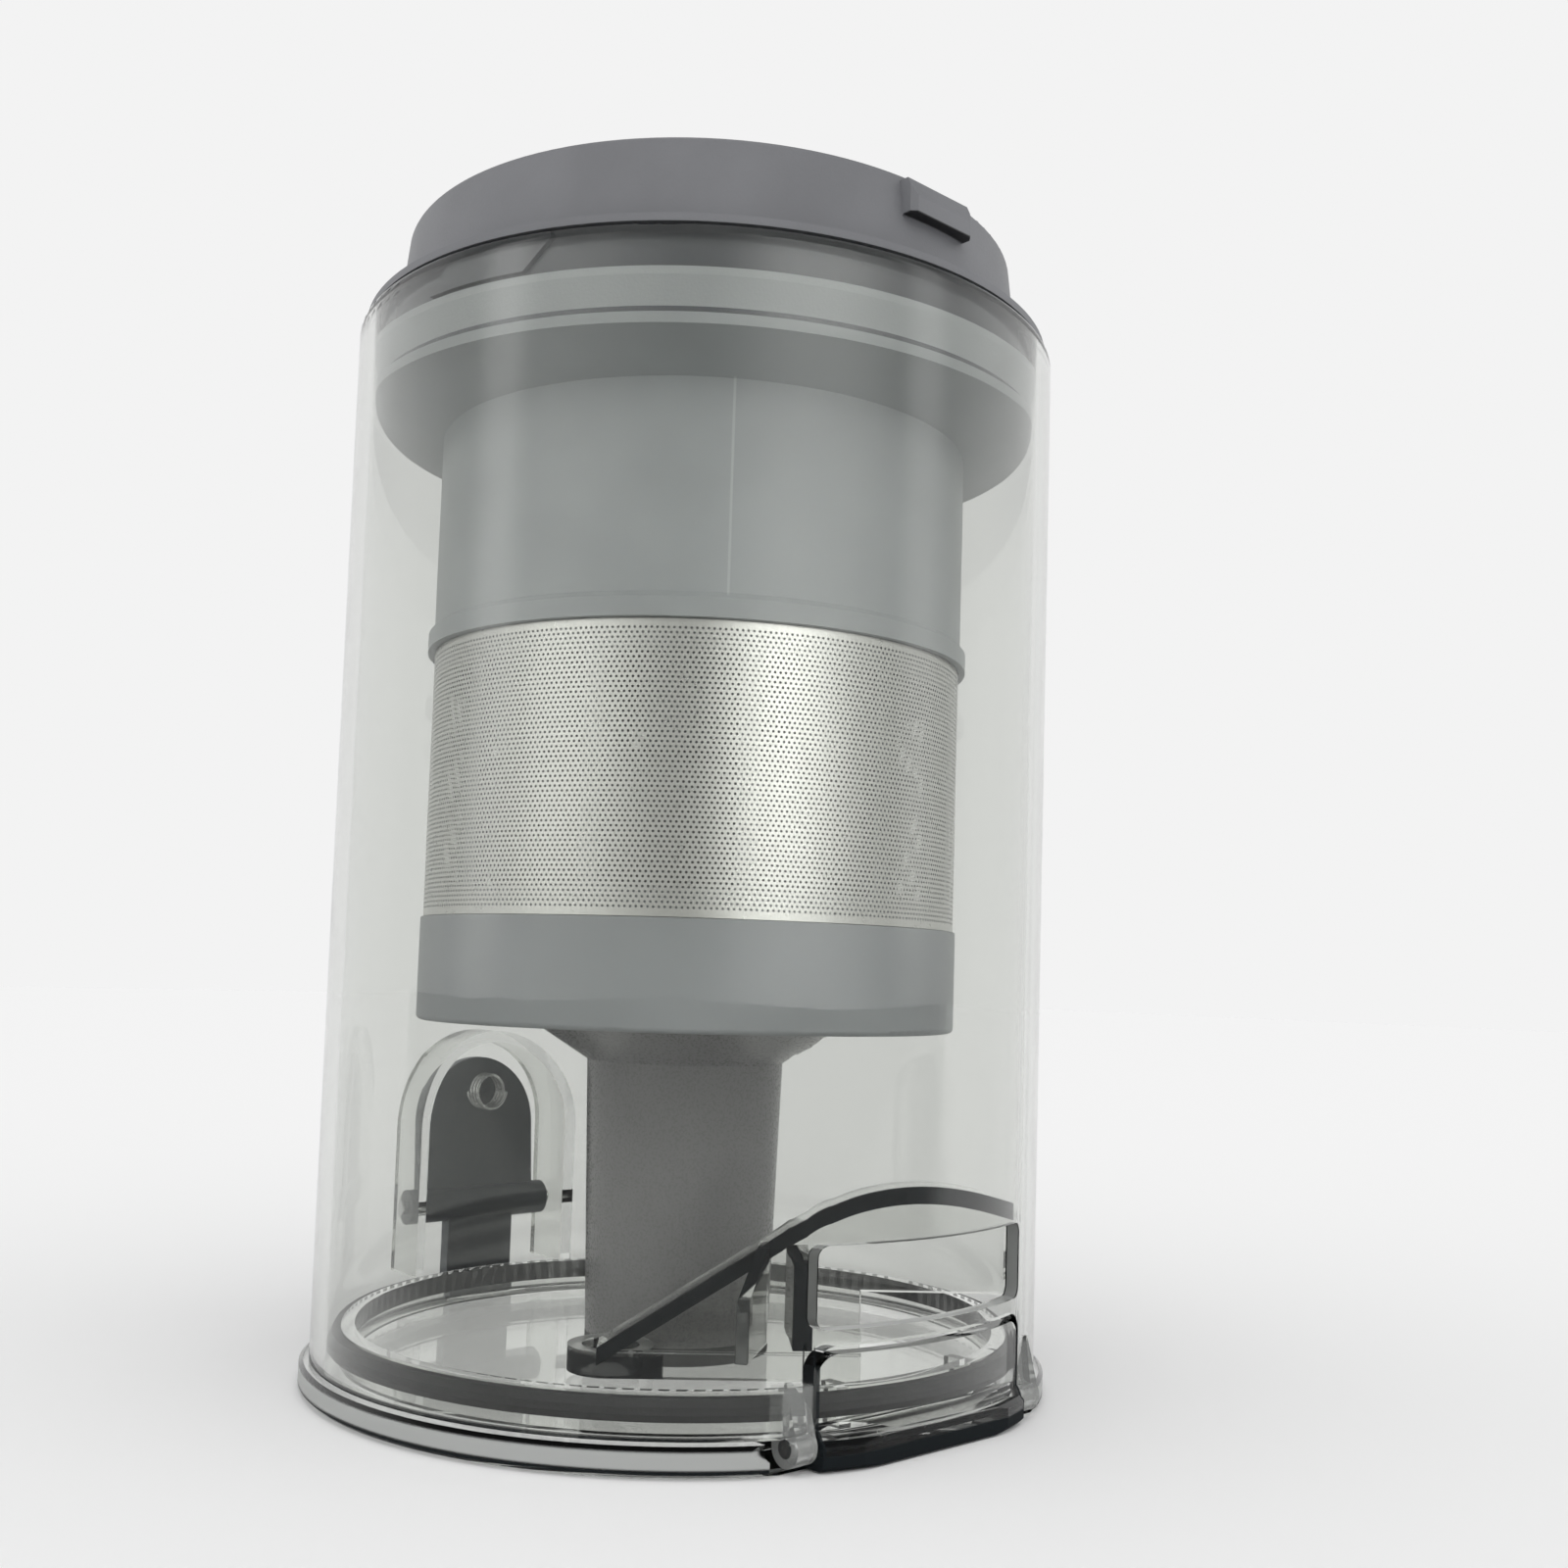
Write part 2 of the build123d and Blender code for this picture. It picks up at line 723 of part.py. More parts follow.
# Perforated steel band
with BuildPart() as mesh_band:
    with BuildSketch(Plane.XY.offset(mesh_low_z)):
        Circle(mesh_r)
        Circle(mesh_inner_r, mode=Mode.SUBTRACT)
    extrude(amount=mesh_height)
finish(mesh_band, "mesh_band")

# Cage inside the mesh: two rings, bars between them and a spigot at each end
with BuildPart() as mesh_cage:
    spigot_outer_r = shroud_inner_r - cage_spigot_gap
    window_height = mesh_height - 2 * cage_ring_height
    with BuildSketch(Plane.XY.offset(mesh_low_z)):
        Circle(cage_r)
        Circle(cage_inner_r - cage_gap, mode=Mode.SUBTRACT)
    extrude(amount=mesh_height)
    with BuildSketch(Plane.XY.offset(mesh_low_z - cage_spigot)):
        Circle(min(spigot_outer_r, skirt_inner_r - cage_spigot_gap))
        Circle(cage_inner_r - cage_gap, mode=Mode.SUBTRACT)
    extrude(amount=mesh_height + 2 * cage_spigot)
    with BuildSketch(Plane.XY.offset(mesh_low_z + cage_ring_height)):
        Circle(cage_r + cage_wall)
        Circle(cage_inner_r - cage_wall, mode=Mode.SUBTRACT)
        with PolarLocations(cage_r, cage_bar_count):
            Rectangle(4 * cage_wall, cage_bar_w, mode=Mode.SUBTRACT)
    extrude(amount=window_height, mode=Mode.SUBTRACT)
finish(mesh_cage, "mesh_cage")

# Lower skirt: a shallow cup with a hole for the funnel
with BuildPart() as lower_skirt:
    with BuildSketch(Plane.XZ):
        with BuildLine():
            Polyline(
                (funnel_r + funnel_gap, skirt_low_z),
                (skirt_r, skirt_low_z),
                (skirt_r, skirt_top_z),
                (skirt_inner_r, skirt_top_z),
                (skirt_inner_r, skirt_low_z + skirt_floor_t),
                (funnel_r + funnel_gap, skirt_low_z + skirt_floor_t),
                close=True,
            )
        make_face()
    revolve(axis=Axis.Z)
    low_rings = lower_skirt.edges().filter_by(GeomType.CIRCLE).group_by(Axis.Z)[0]
    fillet(low_rings.sort_by(SortBy.RADIUS)[-1], skirt_edge_round)
finish(lower_skirt, "lower_skirt")

# Dust funnel: bowl under the cones, funnel and tapered tube in one moulding
with BuildPart() as dust_funnel:
    flange_out_r = funnel_r + bowl_flange
    bowl_foot_z = bowl_low_z + bowl_flange_t
    with BuildSketch(Plane.XZ):
        with BuildLine():
            Polyline(
                (tube_low_r - tube_wall, tube_low_z),
                (tube_low_r, tube_low_z),
                (tube_top_r, funnel_low_z),
                (funnel_r, skirt_low_z),
                (funnel_r, bowl_low_z),
                (flange_out_r, bowl_low_z),
                (flange_out_r, bowl_foot_z),
                (bowl_r, bowl_top_z),
                (bowl_r - bowl_wall, bowl_top_z),
                (funnel_r - bowl_wall, bowl_foot_z),
                (funnel_r - bowl_wall, skirt_low_z),
                (tube_top_r - tube_wall, funnel_low_z),
                close=True,
            )
        make_face()
    revolve(axis=Axis.Z)
finish(dust_funnel, "dust_funnel")

# Seal at the foot of the dust tube
with BuildPart() as tube_seal:
    with BuildSketch(Plane.XY.offset(tube_seal_low_z)):
        Circle(tube_low_r)
        Circle(tube_low_r - tube_wall, mode=Mode.SUBTRACT)
    extrude(amount=tube_seal_height)
finish(tube_seal, "tube_seal")


def cone_outer_r(z):
    """Outer radius of a small cone at height z, below its straight barrel."""
    share = (z - cone_tip_z) / (cone_barrel_low_z - cone_tip_z)
    return cone_tip_r + share * (cone_top_r - cone_tip_r)


def screw_places():
    """Places of the screws, midway between cones."""
    return PolarLocations(screw_circle_r, screw_count, start_angle=180 / cone_count)


# Cone block: a plate with a ring of small cones hanging from it
with BuildPart() as cone_block:
    with BuildSketch(Plane.XY.offset(cone_plate_low_z)):
        Circle(plate_r)
    extrude(amount=cone_plate_t)
    with BuildSketch(Plane.XZ) as cone_outside:
        with BuildLine():
            Polyline(
                (0, cone_tip_z),
                (cone_tip_r, cone_tip_z),
                (cone_top_r, cone_barrel_low_z),
                (cone_top_r, cone_plate_low_z + cone_plate_t / 2),
                (0, cone_plate_low_z + cone_plate_t / 2),
                close=True,
            )
        make_face()
    with BuildSketch(Plane.XZ) as cone_inside:
        with BuildLine():
            Polyline(
                (0, cone_tip_z - cone_wall),
                (cone_tip_r - cone_wall, cone_tip_z - cone_wall),
                (cone_tip_r - cone_wall, cone_tip_z),
                (cone_top_r - cone_wall, cone_barrel_low_z),
                (cone_top_r - cone_wall, cone_plate_top_z + cone_wall),
                (0, cone_plate_top_z + cone_wall),
                close=True,
            )
        make_face()
    cone_solid = revolve(cone_outside.sketch, axis=Axis.Z, mode=Mode.PRIVATE)
    cone_hollow = revolve(cone_inside.sketch, axis=Axis.Z, mode=Mode.PRIVATE)
    with PolarLocations(cone_circle_r, cone_count):
        add(cone_solid)
    with PolarLocations(cone_circle_r, cone_count):
        add(cone_hollow, mode=Mode.SUBTRACT)
    with BuildSketch(Plane.XY.offset(cone_plate_low_z - cone_slot_h)):
        with PolarLocations(cone_circle_r, cone_count):
            with Locations((cone_top_r / 2, cone_top_r - cone_slot_w / 2)):
                Rectangle(cone_top_r, cone_slot_w, align=(Align.MIN, Align.CENTER))
    extrude(amount=cone_slot_h, mode=Mode.SUBTRACT)
    with BuildSketch(Plane.XY.offset(cone_plate_low_z)):
        with screw_places():
            Circle(screw_shank_r + screw_hole_gap / 2)
    extrude(amount=cone_plate_t, mode=Mode.SUBTRACT)
finish(cone_block, "cone_block")

# Rubber seal plate that closes the bowl round the cone tips
with BuildPart() as cone_tip_seal:
    with BuildSketch(Plane.XY.offset(bowl_top_z)):
        Circle(bowl_r)
        with PolarLocations(cone_circle_r, cone_count):
            Circle(cone_outer_r(bowl_top_z + tip_seal_t) + tip_seal_gap, mode=Mode.SUBTRACT)
    extrude(amount=tip_seal_t)
finish(cone_tip_seal, "cone_tip_seal")

# Gasket between the cone block and the vortex plate
with BuildPart() as plate_gasket:
    with BuildSketch(Plane.XY.offset(cone_plate_top_z)):
        Circle(plate_r)
        with PolarLocations(cone_circle_r, cone_count):
            Circle(cone_top_r - cone_wall, mode=Mode.SUBTRACT)
        with screw_places():
            Circle(screw_shank_r + screw_hole_gap, mode=Mode.SUBTRACT)
    extrude(amount=gasket_t)
finish(plate_gasket, "plate_gasket")

# Vortex plate: a plate with a ring of finder tubes, each with a raised lip
with BuildPart() as vortex_plate:
    with BuildSketch(Plane.XY.offset(gasket_top_z)):
        Circle(plate_r)
        with screw_places():
            Circle(screw_shank_r + screw_hole_gap, mode=Mode.SUBTRACT)
    extrude(amount=vortex_plate_t)
    with BuildSketch(Plane.XY.offset(gasket_top_z - finder_length)):
        with PolarLocations(cone_circle_r, cone_count):
            Circle(finder_r)
    extrude(amount=finder_length)
    with BuildSketch(Plane.XY.offset(vortex_top_z)):
        with PolarLocations(cone_circle_r, cone_count):
            Circle(finder_lip_r)
    extrude(amount=finder_lip_t)
    with BuildSketch(Plane.XY.offset(gasket_top_z - finder_length)):
        with PolarLocations(cone_circle_r, cone_count):
            Circle(finder_bore_r)
    extrude(amount=finder_length + vortex_plate_t + finder_lip_t, mode=Mode.SUBTRACT)
finish(vortex_plate, "vortex_plate")

# Screws through the vortex plate and gasket into the cone block
with BuildPart() as plate_screws:
    with BuildSketch(Plane.XY.offset(cone_plate_low_z)):
        with screw_places():
            Circle(screw_shank_r)
    extrude(amount=vortex_top_z - cone_plate_low_z)
    with BuildSketch(Plane.XY.offset(vortex_top_z)):
        with screw_places():
            Circle(screw_head_r)
    extrude(amount=screw_head_t)
    fillet(plate_screws.edges().group_by(Axis.Z)[-1], screw_head_round)
    with BuildSketch(Plane.XY.offset(vortex_top_z + screw_head_t)):
        with screw_places():
            Rectangle(screw_slot_length, screw_slot_width)
            Rectangle(screw_slot_width, screw_slot_length)
    extrude(amount=-screw_slot_depth, mode=Mode.SUBTRACT)
finish(plate_screws, "plate_screws")
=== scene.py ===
# %% [markdown]
# # A clear cyclone dust cup
#
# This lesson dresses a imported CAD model: a clear dust cup with a lift-out cyclone core.
# The CAD model gives every solid its size and place. Here the solids get their finishes, and two pieces
# are modelled again: the perforated band, which needs finer form than a solid gives, and the latch's
# spring, which changes its length.

# %% Load the frame
from math import cos, pi, radians, sin

import bmesh
import bpy
from mathutils import Matrix, Vector


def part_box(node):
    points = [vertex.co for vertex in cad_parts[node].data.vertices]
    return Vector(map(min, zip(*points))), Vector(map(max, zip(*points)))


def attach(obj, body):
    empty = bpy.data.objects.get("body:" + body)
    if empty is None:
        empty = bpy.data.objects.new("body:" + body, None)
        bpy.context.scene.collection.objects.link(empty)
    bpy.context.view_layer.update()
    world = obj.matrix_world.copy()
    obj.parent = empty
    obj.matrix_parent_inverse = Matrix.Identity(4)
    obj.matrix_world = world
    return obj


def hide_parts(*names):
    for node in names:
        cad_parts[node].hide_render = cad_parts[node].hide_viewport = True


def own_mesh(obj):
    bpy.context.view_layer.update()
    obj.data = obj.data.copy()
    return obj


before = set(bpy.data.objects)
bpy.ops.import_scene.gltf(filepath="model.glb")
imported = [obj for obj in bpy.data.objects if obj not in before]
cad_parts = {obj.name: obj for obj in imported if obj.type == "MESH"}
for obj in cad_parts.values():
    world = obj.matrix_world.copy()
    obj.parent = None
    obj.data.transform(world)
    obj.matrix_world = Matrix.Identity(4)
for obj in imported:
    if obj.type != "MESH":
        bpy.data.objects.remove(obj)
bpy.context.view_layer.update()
scene = bpy.context.scene
scene.view_settings.view_transform = "Standard"
MM = 0.001

# %% [markdown]
# ## The camera
#
# The photograph was taken close up, so its perspective is strong. The camera stands about 260 mm from
# the cup, a third of the way up, and looks slightly upwards. The picture's optical centre lies a little
# below its middle, which a small shift reproduces. A camera could be aimed with a constraint, but three
# axes in a matrix say exactly where it looks.

# %% Camera
CAMERA_PLACE = Vector((-170.31, -202.96, 61.55)) * MM
CAMERA_RIGHT = Vector((0.72772, -0.68523, 0.02951))
CAMERA_UP = Vector((-0.07402, -0.03570, 0.99662))
CAMERA_AHEAD = Vector((0.68186, 0.72745, 0.07671))
SENSOR_WIDTH_MM = 36.0
FRAME_PIXELS = 1600
FOCAL_PIXELS = 1701.4
CENTRE_BELOW_MIDDLE = 64.33
CLIP_START = 10 * MM

camera_data = bpy.data.cameras.new("camera")
camera_data.sensor_width = SENSOR_WIDTH_MM
camera_data.lens = SENSOR_WIDTH_MM * FOCAL_PIXELS / FRAME_PIXELS
camera_data.shift_y = CENTRE_BELOW_MIDDLE / FRAME_PIXELS
camera_data.clip_start = CLIP_START
camera = bpy.data.objects.new("camera", camera_data)
camera_axes = Matrix((CAMERA_RIGHT, CAMERA_UP, -CAMERA_AHEAD)).transposed()
camera.matrix_world = Matrix.Translation(CAMERA_PLACE) @ camera_axes.to_4x4()
scene.collection.objects.link(camera)
scene.camera = camera
print("lens", round(camera_data.lens, 2), "mm")

# %% [markdown]
# ## Shader maths as Python
#
# A material is a graph of nodes, and its arithmetic is easier to read as an expression.
# The class below wraps one socket: adding or multiplying two wires adds a Math node.
# Every other node comes from its one method `node`, which sets the node up and feeds its sockets.


# %% Wires
class Wire:
    """One output socket of a node tree, with Python's operators for shader maths."""

    def __init__(self, socket):
        self.socket = socket

    @staticmethod
    def node(tree, kind, settings=None, inputs=None, output=0):
        """Add a node, apply its settings, feed its sockets and return one output as a wire."""
        node = tree.nodes.new(kind)
        for name, value in (settings or {}).items():
            setattr(node, name, value)
        for key, value in (inputs or {}).items():
            if isinstance(value, Wire):
                tree.links.new(value.socket, node.inputs[key])
            else:
                node.inputs[key].default_value = value
        return Wire(node.outputs[output])

    def sibling(self, name):
        """Another output of the same node."""
        return Wire(self.socket.node.outputs[name])

    def siblings(self):
        """All outputs of the same node."""
        return [Wire(socket) for socket in self.socket.node.outputs]

    def maths(self, operation, *others):
        """A Math node with this wire first, then the others."""
        inputs = dict(enumerate((self,) + others))
        return Wire.node(self.socket.id_data, "ShaderNodeMath", {"operation": operation}, inputs)

    def __add__(self, other):
        return self.maths("ADD", other)

    def __sub__(self, other):
        return self.maths("SUBTRACT", other)

    def __mul__(self, other):
        return self.maths("MULTIPLY", other)

    def __truediv__(self, other):
        return self.maths("DIVIDE", other)

    def __rsub__(self, other):
        return (self * -1.0) + other

    __radd__ = __add__
    __rmul__ = __mul__

    def size(self):
        """The value without its sign."""
        return self.maths("ABSOLUTE")

    def step(self, low, high):
        """Nought below low, one above high and a smooth rise between them."""
        return Wire.node(
            self.socket.id_data,
            "ShaderNodeMapRange",
            {"interpolation_type": "SMOOTHSTEP"},
            {"Value": self, "From Min": low, "From Max": high},
        )

    def above(self, level, soft):
        """Nought below a level and one above it, soft on both sides."""
        return self.step(level - soft, level + soft)

    def below(self, level, soft):
        """One below a level and nought above it, soft on both sides."""
        return 1 - self.above(level, soft)

    def between(self, low, high, soft):
        """One between two levels and nought outside them, with soft ends."""
        return self.above(low, soft) * self.below(high, soft)


def strongest(first, *others):
    """The largest of several masks."""
    for other in others:
        first = first.maths("MAXIMUM", other)
    return first


def mix_colours(tree, factor, first, second):
    """Blend two colours, each a wire or four numbers, by a factor."""
    inputs = {"Factor": factor, 6: first, 7: second}
    return Wire.node(tree, "ShaderNodeMix", {"data_type": "RGBA"}, inputs, output=2)


print("wires ready")

# %% [markdown]
# ## Light and stage
#
# The cup is clear, so the light has to suit a clear thing. What shows through the walls is a plain white
# surround with a dark ceiling, which the thick edges gather and draw as outlines. Reflections see the same
# surround behind the cup and a dim room on the camera's side, or their haze would hide what is inside.
# Two tall windows in that room give the wall its soft upright streaks, and the bright metal inside the
# cup sees upright stripes of light and shade.
#
# Lamps could light the solid plastics, but each would show as a hard-edged disc inside the clear walls.
# The world itself therefore holds two wide soft lobes of light, and only the light that falls on a
# surface sees them. Light that comes through the cup's tinted wall is raised by what the wall takes away,
# so that a plastic behind the wall shows about the colour that is written for it.

# %% Directions of the world
LOBE_EDGE, STRIPE_SOFT = 0.25, 0.8


def toward(x, y, z, direction):
    """How far a place or direction of three wires reaches along another direction."""
    return x * direction.x + y * direction.y + z * direction.z


camera_side = Vector((-CAMERA_AHEAD.x, -CAMERA_AHEAD.y, 0)).normalized()
camera_right = Vector((-camera_side.y, camera_side.x, 0))


def light_lobe(across, ahead, height, turn, lift):
    """A soft lobe of light, turned right from the camera and lifted above it, in degrees."""
    turn, lift = radians(turn), radians(lift)
    level = camera_side * cos(turn) + camera_right * sin(turn)
    middle = level * cos(lift) + Vector((0, 0, sin(lift)))
    return toward(across, ahead, height, middle).step(LOBE_EDGE, 1.0)


world = bpy.data.worlds.new("surround")
world.use_nodes = True
scene.world = world
tree = world.node_tree
tree.nodes.clear()
generated = Wire.node(tree, "ShaderNodeTexCoord", output="Generated")
direction = Wire.node(tree, "ShaderNodeSeparateXYZ", inputs={0: generated}).siblings()
height = direction[2]
facing = toward(*direction, camera_side)
turn = toward(*direction, camera_right).maths("ARCTAN2", facing)


def upright(middle, half):
    """An upright stripe of the room with soft sides, at a turn from the camera."""
    return (turn - middle).size().below(half, half * STRIPE_SOFT)


print("camera's side of the world:", [round(v, 3) for v in camera_side])

# %% Falling light, walls, room and stripes
EVEN_LIGHT = 0.44
SKY_LIGHT, SKY_FROM, SKY_TO = 0.34, 0.1, 0.9
KEY_LIGHT, KEY_TURN, KEY_LIFT = 0.52, -45, 35
SIDE_LIGHT, SIDE_TURN, SIDE_LIFT = 0.55, 45, 25
SURROUND_WHITE = 0.896
CEILING_DARK, CEILING_FROM, CEILING_TO = 0.12, 0.45, 0.80
ROOM_DIM = 0.10
WINDOW_LIGHT, WINDOW_HALF, WINDOW_TURNS = 1.4, 0.12, (-1.10, 1.32)
WINDOW_SILL, WINDOW_HEAD = (-0.1, 0.1), (0.5, 0.8)
STRIPE_LEVEL = 1.3
STRIPES = ((-0.93, 0.35, 0.7), (0.0, 0.30, -0.5), (0.66, 0.35, 1.8), (1.57, 0.40, -0.2))

falling_light = (
    EVEN_LIGHT
    + height.step(SKY_FROM, SKY_TO) * SKY_LIGHT
    + light_lobe(*direction, KEY_TURN, KEY_LIFT) * KEY_LIGHT
    + light_lobe(*direction, SIDE_TURN, SIDE_LIFT) * SIDE_LIGHT
)
walls = SURROUND_WHITE + height.step(CEILING_FROM, CEILING_TO) * (CEILING_DARK - SURROUND_WHITE)
windows = strongest(*(upright(middle, WINDOW_HALF) for middle in WINDOW_TURNS))
room = ROOM_DIM + windows * WINDOW_LIGHT * height.step(*WINDOW_SILL) * (1 - height.step(*WINDOW_HEAD))
stripes = STRIPE_LEVEL
for middle, half, gain in STRIPES:
    stripes = upright(middle, half) * gain + stripes
print("world:", len(tree.nodes), "nodes so far")

# %% What each kind of ray sees
WALL_GAIN = 0.95
FRONT_SOFT = 0.3
ONE_OR_MORE = (0.5, 0.1)

path = Wire.node(tree, "ShaderNodeLightPath")
camera_ray, clear_ray = path.sibling("Is Camera Ray"), path.sibling("Is Transmission Ray")
reflected = path.sibling("Glossy Depth").above(*ONE_OR_MORE)
scattered = path.sibling("Diffuse Depth").above(*ONE_OR_MORE)
looking = strongest(camera_ray, clear_ray, path.sibling("Is Glossy Ray"))
lighting = strongest(1 - looking, scattered)
reflection = room + clear_ray * (stripes - room)
reflection = walls + facing.above(0, FRONT_SOFT) * (reflection - walls)
view = walls + reflected * (reflection - walls)
view = view + camera_ray * (SURROUND_WHITE - view)
strength = view + lighting * (falling_light * (1 + clear_ray * WALL_GAIN) - view)
background = Wire.node(tree, "ShaderNodeBackground", inputs={"Color": (1, 1, 1, 1), "Strength": strength})
surface = tree.nodes.new("ShaderNodeOutputWorld")
tree.links.new(background.socket, surface.inputs["Surface"])
print("world:", len(tree.nodes), "nodes")

# %% [markdown]
# The floor is an ordinary white surface, so it keeps the cup's soft shadow, and its tone is set so that it
# meets the white surround without a line. Reflections see it dim on the camera's side, like the room.
# Light that falls on the floor through clear plastic is hard for a path tracer to find, so under the cup
# the floor gives that light itself, in place of its own tone, to the rays that come through the plastic.

# %% Floor
FLOOR_SIDE = 6.0
FLOOR_GAP = 0.3 * MM
FLOOR_TONE, FLOOR_DIM, FLOOR_ROUGHNESS = 0.88, 0.12, 0.9
DIM_FROM, DIM_TO, CLEAR_DIM = 20, 80, 0.5
CUP_GLOW, GLOW_EDGE = 0.90, 1.5

floor_mesh = bmesh.new()
bmesh.ops.create_grid(floor_mesh, x_segments=1, y_segments=1, size=FLOOR_SIDE / 2)
bmesh.ops.translate(floor_mesh, verts=floor_mesh.verts, vec=(0, 0, -FLOOR_GAP))
floor_data = bpy.data.meshes.new("floor")
floor_mesh.to_mesh(floor_data)
floor_mesh.free()
floor = bpy.data.objects.new("floor", floor_data)
scene.collection.objects.link(floor)


def box_mm(node):
    """A CAD node's lowest and highest corners in millimetres."""
    return [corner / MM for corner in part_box(node)]


def new_finish(name):
    """A material with a Principled shader: the material, its tree and that shader."""
    finish = bpy.data.materials.new(name)
    finish.use_nodes = True
    return finish, finish.node_tree, finish.node_tree.nodes["Principled BSDF"]


def object_mm(tree):
    """X, Y and Z of the Object coordinates in millimetres."""
    place = Wire.node(tree, "ShaderNodeTexCoord", output="Object")
    return [part / MM for part in Wire.node(tree, "ShaderNodeSeparateXYZ", inputs={0: place}).siblings()]


def radius(x, y):
    """The distance from the axis that x and y are counted from."""
    return (x * x + y * y).maths("SQRT")


def feed(tree, shader, **values):
    """Link wires to the shader's sockets, or set plain values on them."""
    for name, value in values.items():
        socket = shader.inputs[name.replace("_", " ")]
        if isinstance(value, Wire):
            tree.links.new(value.socket, socket)
        else:
            socket.default_value = value


lid_low, lid_high = box_mm("lid")
floor_paint, tree, floor_shader = new_finish("floor_white")
x, y, z = object_mm(tree)
under_cup = radius(x, y).below(lid_high.x - GLOW_EDGE, GLOW_EDGE)
path = Wire.node(tree, "ShaderNodeLightPath")
clear_ray = path.sibling("Is Transmission Ray")
dimmed = path.sibling("Glossy Depth").above(*ONE_OR_MORE)
dimmed = dimmed * toward(x, y, z, camera_side).step(DIM_FROM, DIM_TO)
tone = FLOOR_TONE + dimmed * (1 - clear_ray * CLEAR_DIM) * (FLOOR_DIM - FLOOR_TONE)
glow = under_cup * clear_ray
feed(
    tree,
    floor_shader,
    Base_Color=tone * (1 - glow),
    Emission_Color=mix_colours(tree, glow, (0, 0, 0, 1), (CUP_GLOW, CUP_GLOW, CUP_GLOW, 1)),
    Emission_Strength=1.0,
    Roughness=FLOOR_ROUGHNESS,
    Specular_IOR_Level=0.0,
)
floor_data.materials.append(floor_paint)
print("floor glows inside a radius of", round(lid_high.x, 1), "mm")

# %% [markdown]
# ## Moulded plastics
#
# Each opaque plastic here is one recipe with its own colour and gloss. The real surfaces copy a mould that
# was roughened by sparks, so a fine grain breaks up the gloss, and broad faint clouds shift the colour a
# little. An image could carry that grain, but noise in Object coordinates has no seams and stays put when
# a piece moves. A mask of a place in millimetres may polish a zone or give it another colour.

# %% Moulded plastics
CLOUD_SCALE, CLOUD = 60.0, 0.05
GRAIN_SCALE, GRAIN_HEIGHT, GRAIN_STRENGTH, GRAIN_GLOSS = 2600.0, 0.06 * MM, 0.6, 0.12
POLISHED_ROUGHNESS = 0.14


def noise(tree, scale, detail=2.0):
    """A noise value between nought and one, in Object coordinates."""
    place = Wire.node(tree, "ShaderNodeTexCoord", output="Object")
    return Wire.node(tree, "ShaderNodeTexNoise", inputs={"Vector": place, "Scale": scale, "Detail": detail})


def bump(tree, height, distance, strength):
    """A Bump node's normal for a height in units of distance."""
    inputs = {"Height": height, "Distance": distance, "Strength": strength}
    return Wire.node(tree, "ShaderNodeBump", inputs=inputs, output="Normal")


def shade(colour, share):
    """A colour of three numbers, lighter or darker by a share, with an alpha of one."""
    return tuple(part * share for part in colour) + (1,)


def moulded_plastic(name, colour, roughness, grain=1.0, polished=None, painted=()):
    """Opaque moulded plastic, with one zone polished and other zones painted where masks say so."""
    finish, tree, shader = new_finish(name)
    place = object_mm(tree)
    clouds = noise(tree, CLOUD_SCALE, 3.0).step(0.3, 0.7)
    fine = noise(tree, GRAIN_SCALE)
    paint = mix_colours(tree, clouds, shade(colour, 1 - CLOUD), shade(colour, 1 + CLOUD))
    gloss, relief = roughness + (fine - 0.5) * GRAIN_GLOSS, fine
    if polished:
        zone = polished(*place)
        gloss = gloss + zone * (POLISHED_ROUGHNESS - gloss)
        relief = relief * (1 - zone)
    for zone, zone_colour in painted:
        paint = mix_colours(tree, zone(*place), paint, shade(zone_colour, 1))
    normal = bump(tree, relief, GRAIN_HEIGHT * grain, GRAIN_STRENGTH)
    feed(tree, shader, Base_Color=paint, Roughness=gloss, Normal=normal)
    return finish


skirt_plastic = moulded_plastic("skirt_plastic", (0.330, 0.345, 0.355), 0.45, grain=0.3)
tube_plastic = moulded_plastic("tube_plastic", (0.225, 0.222, 0.222), 0.28, grain=0.3)
lever_plastic = moulded_plastic("lever_plastic", (0.075, 0.085, 0.100), 0.38)
dark_rubber = moulded_plastic("dark_rubber", (0.055, 0.055, 0.057), 0.55, grain=1.5)
pale_rubber = moulded_plastic("pale_rubber", (0.480, 0.500, 0.505), 0.50, grain=0.8)
print("five plain plastics and rubbers")

# %% [markdown]
# The cap is matte above its foot and polished on the neck below, because the neck slides into the cup.
# Deep shade lies under its lugs, and is painted there as a near-black grey. The shroud came from a mould in
# two halves, which left a fine line down each side. Both are zones of the same recipe, so no second material
# or cut in the mesh is needed.

# %% Cap and shroud plastics
NECK_GREY, SHADE_GREY, SEAM_GREY = (0.115, 0.120, 0.130), (0.012, 0.012, 0.014), (0.52, 0.54, 0.545)
FOOT_ABOVE_RIM, LUG_BELOW_TOP, CAP_WALL_R, SHROUD_R = 0.3, 6.2, 48.7, 41.7
SEAM_TURN, SEAM_WIDTH = radians(-125), 0.36
SHARP, FIRM, SOFT = 0.1, 0.2, 0.5

rim_z = box_mm("dust_cup")[1].z
lug_z = box_mm("top_cap")[1].z - LUG_BELOW_TOP


def cap_neck(x, y, z):
    """The polished neck below the cap's foot."""
    return z.below(rim_z + FOOT_ABOVE_RIM, SHARP)


def painted_lug_shade(x, y, z):
    """The undersides of the two lugs, where shade is painted as a near-black grey."""
    return (z - lug_z).size().below(FIRM, SHARP) * radius(x, y).above(CAP_WALL_R + FIRM, FIRM)


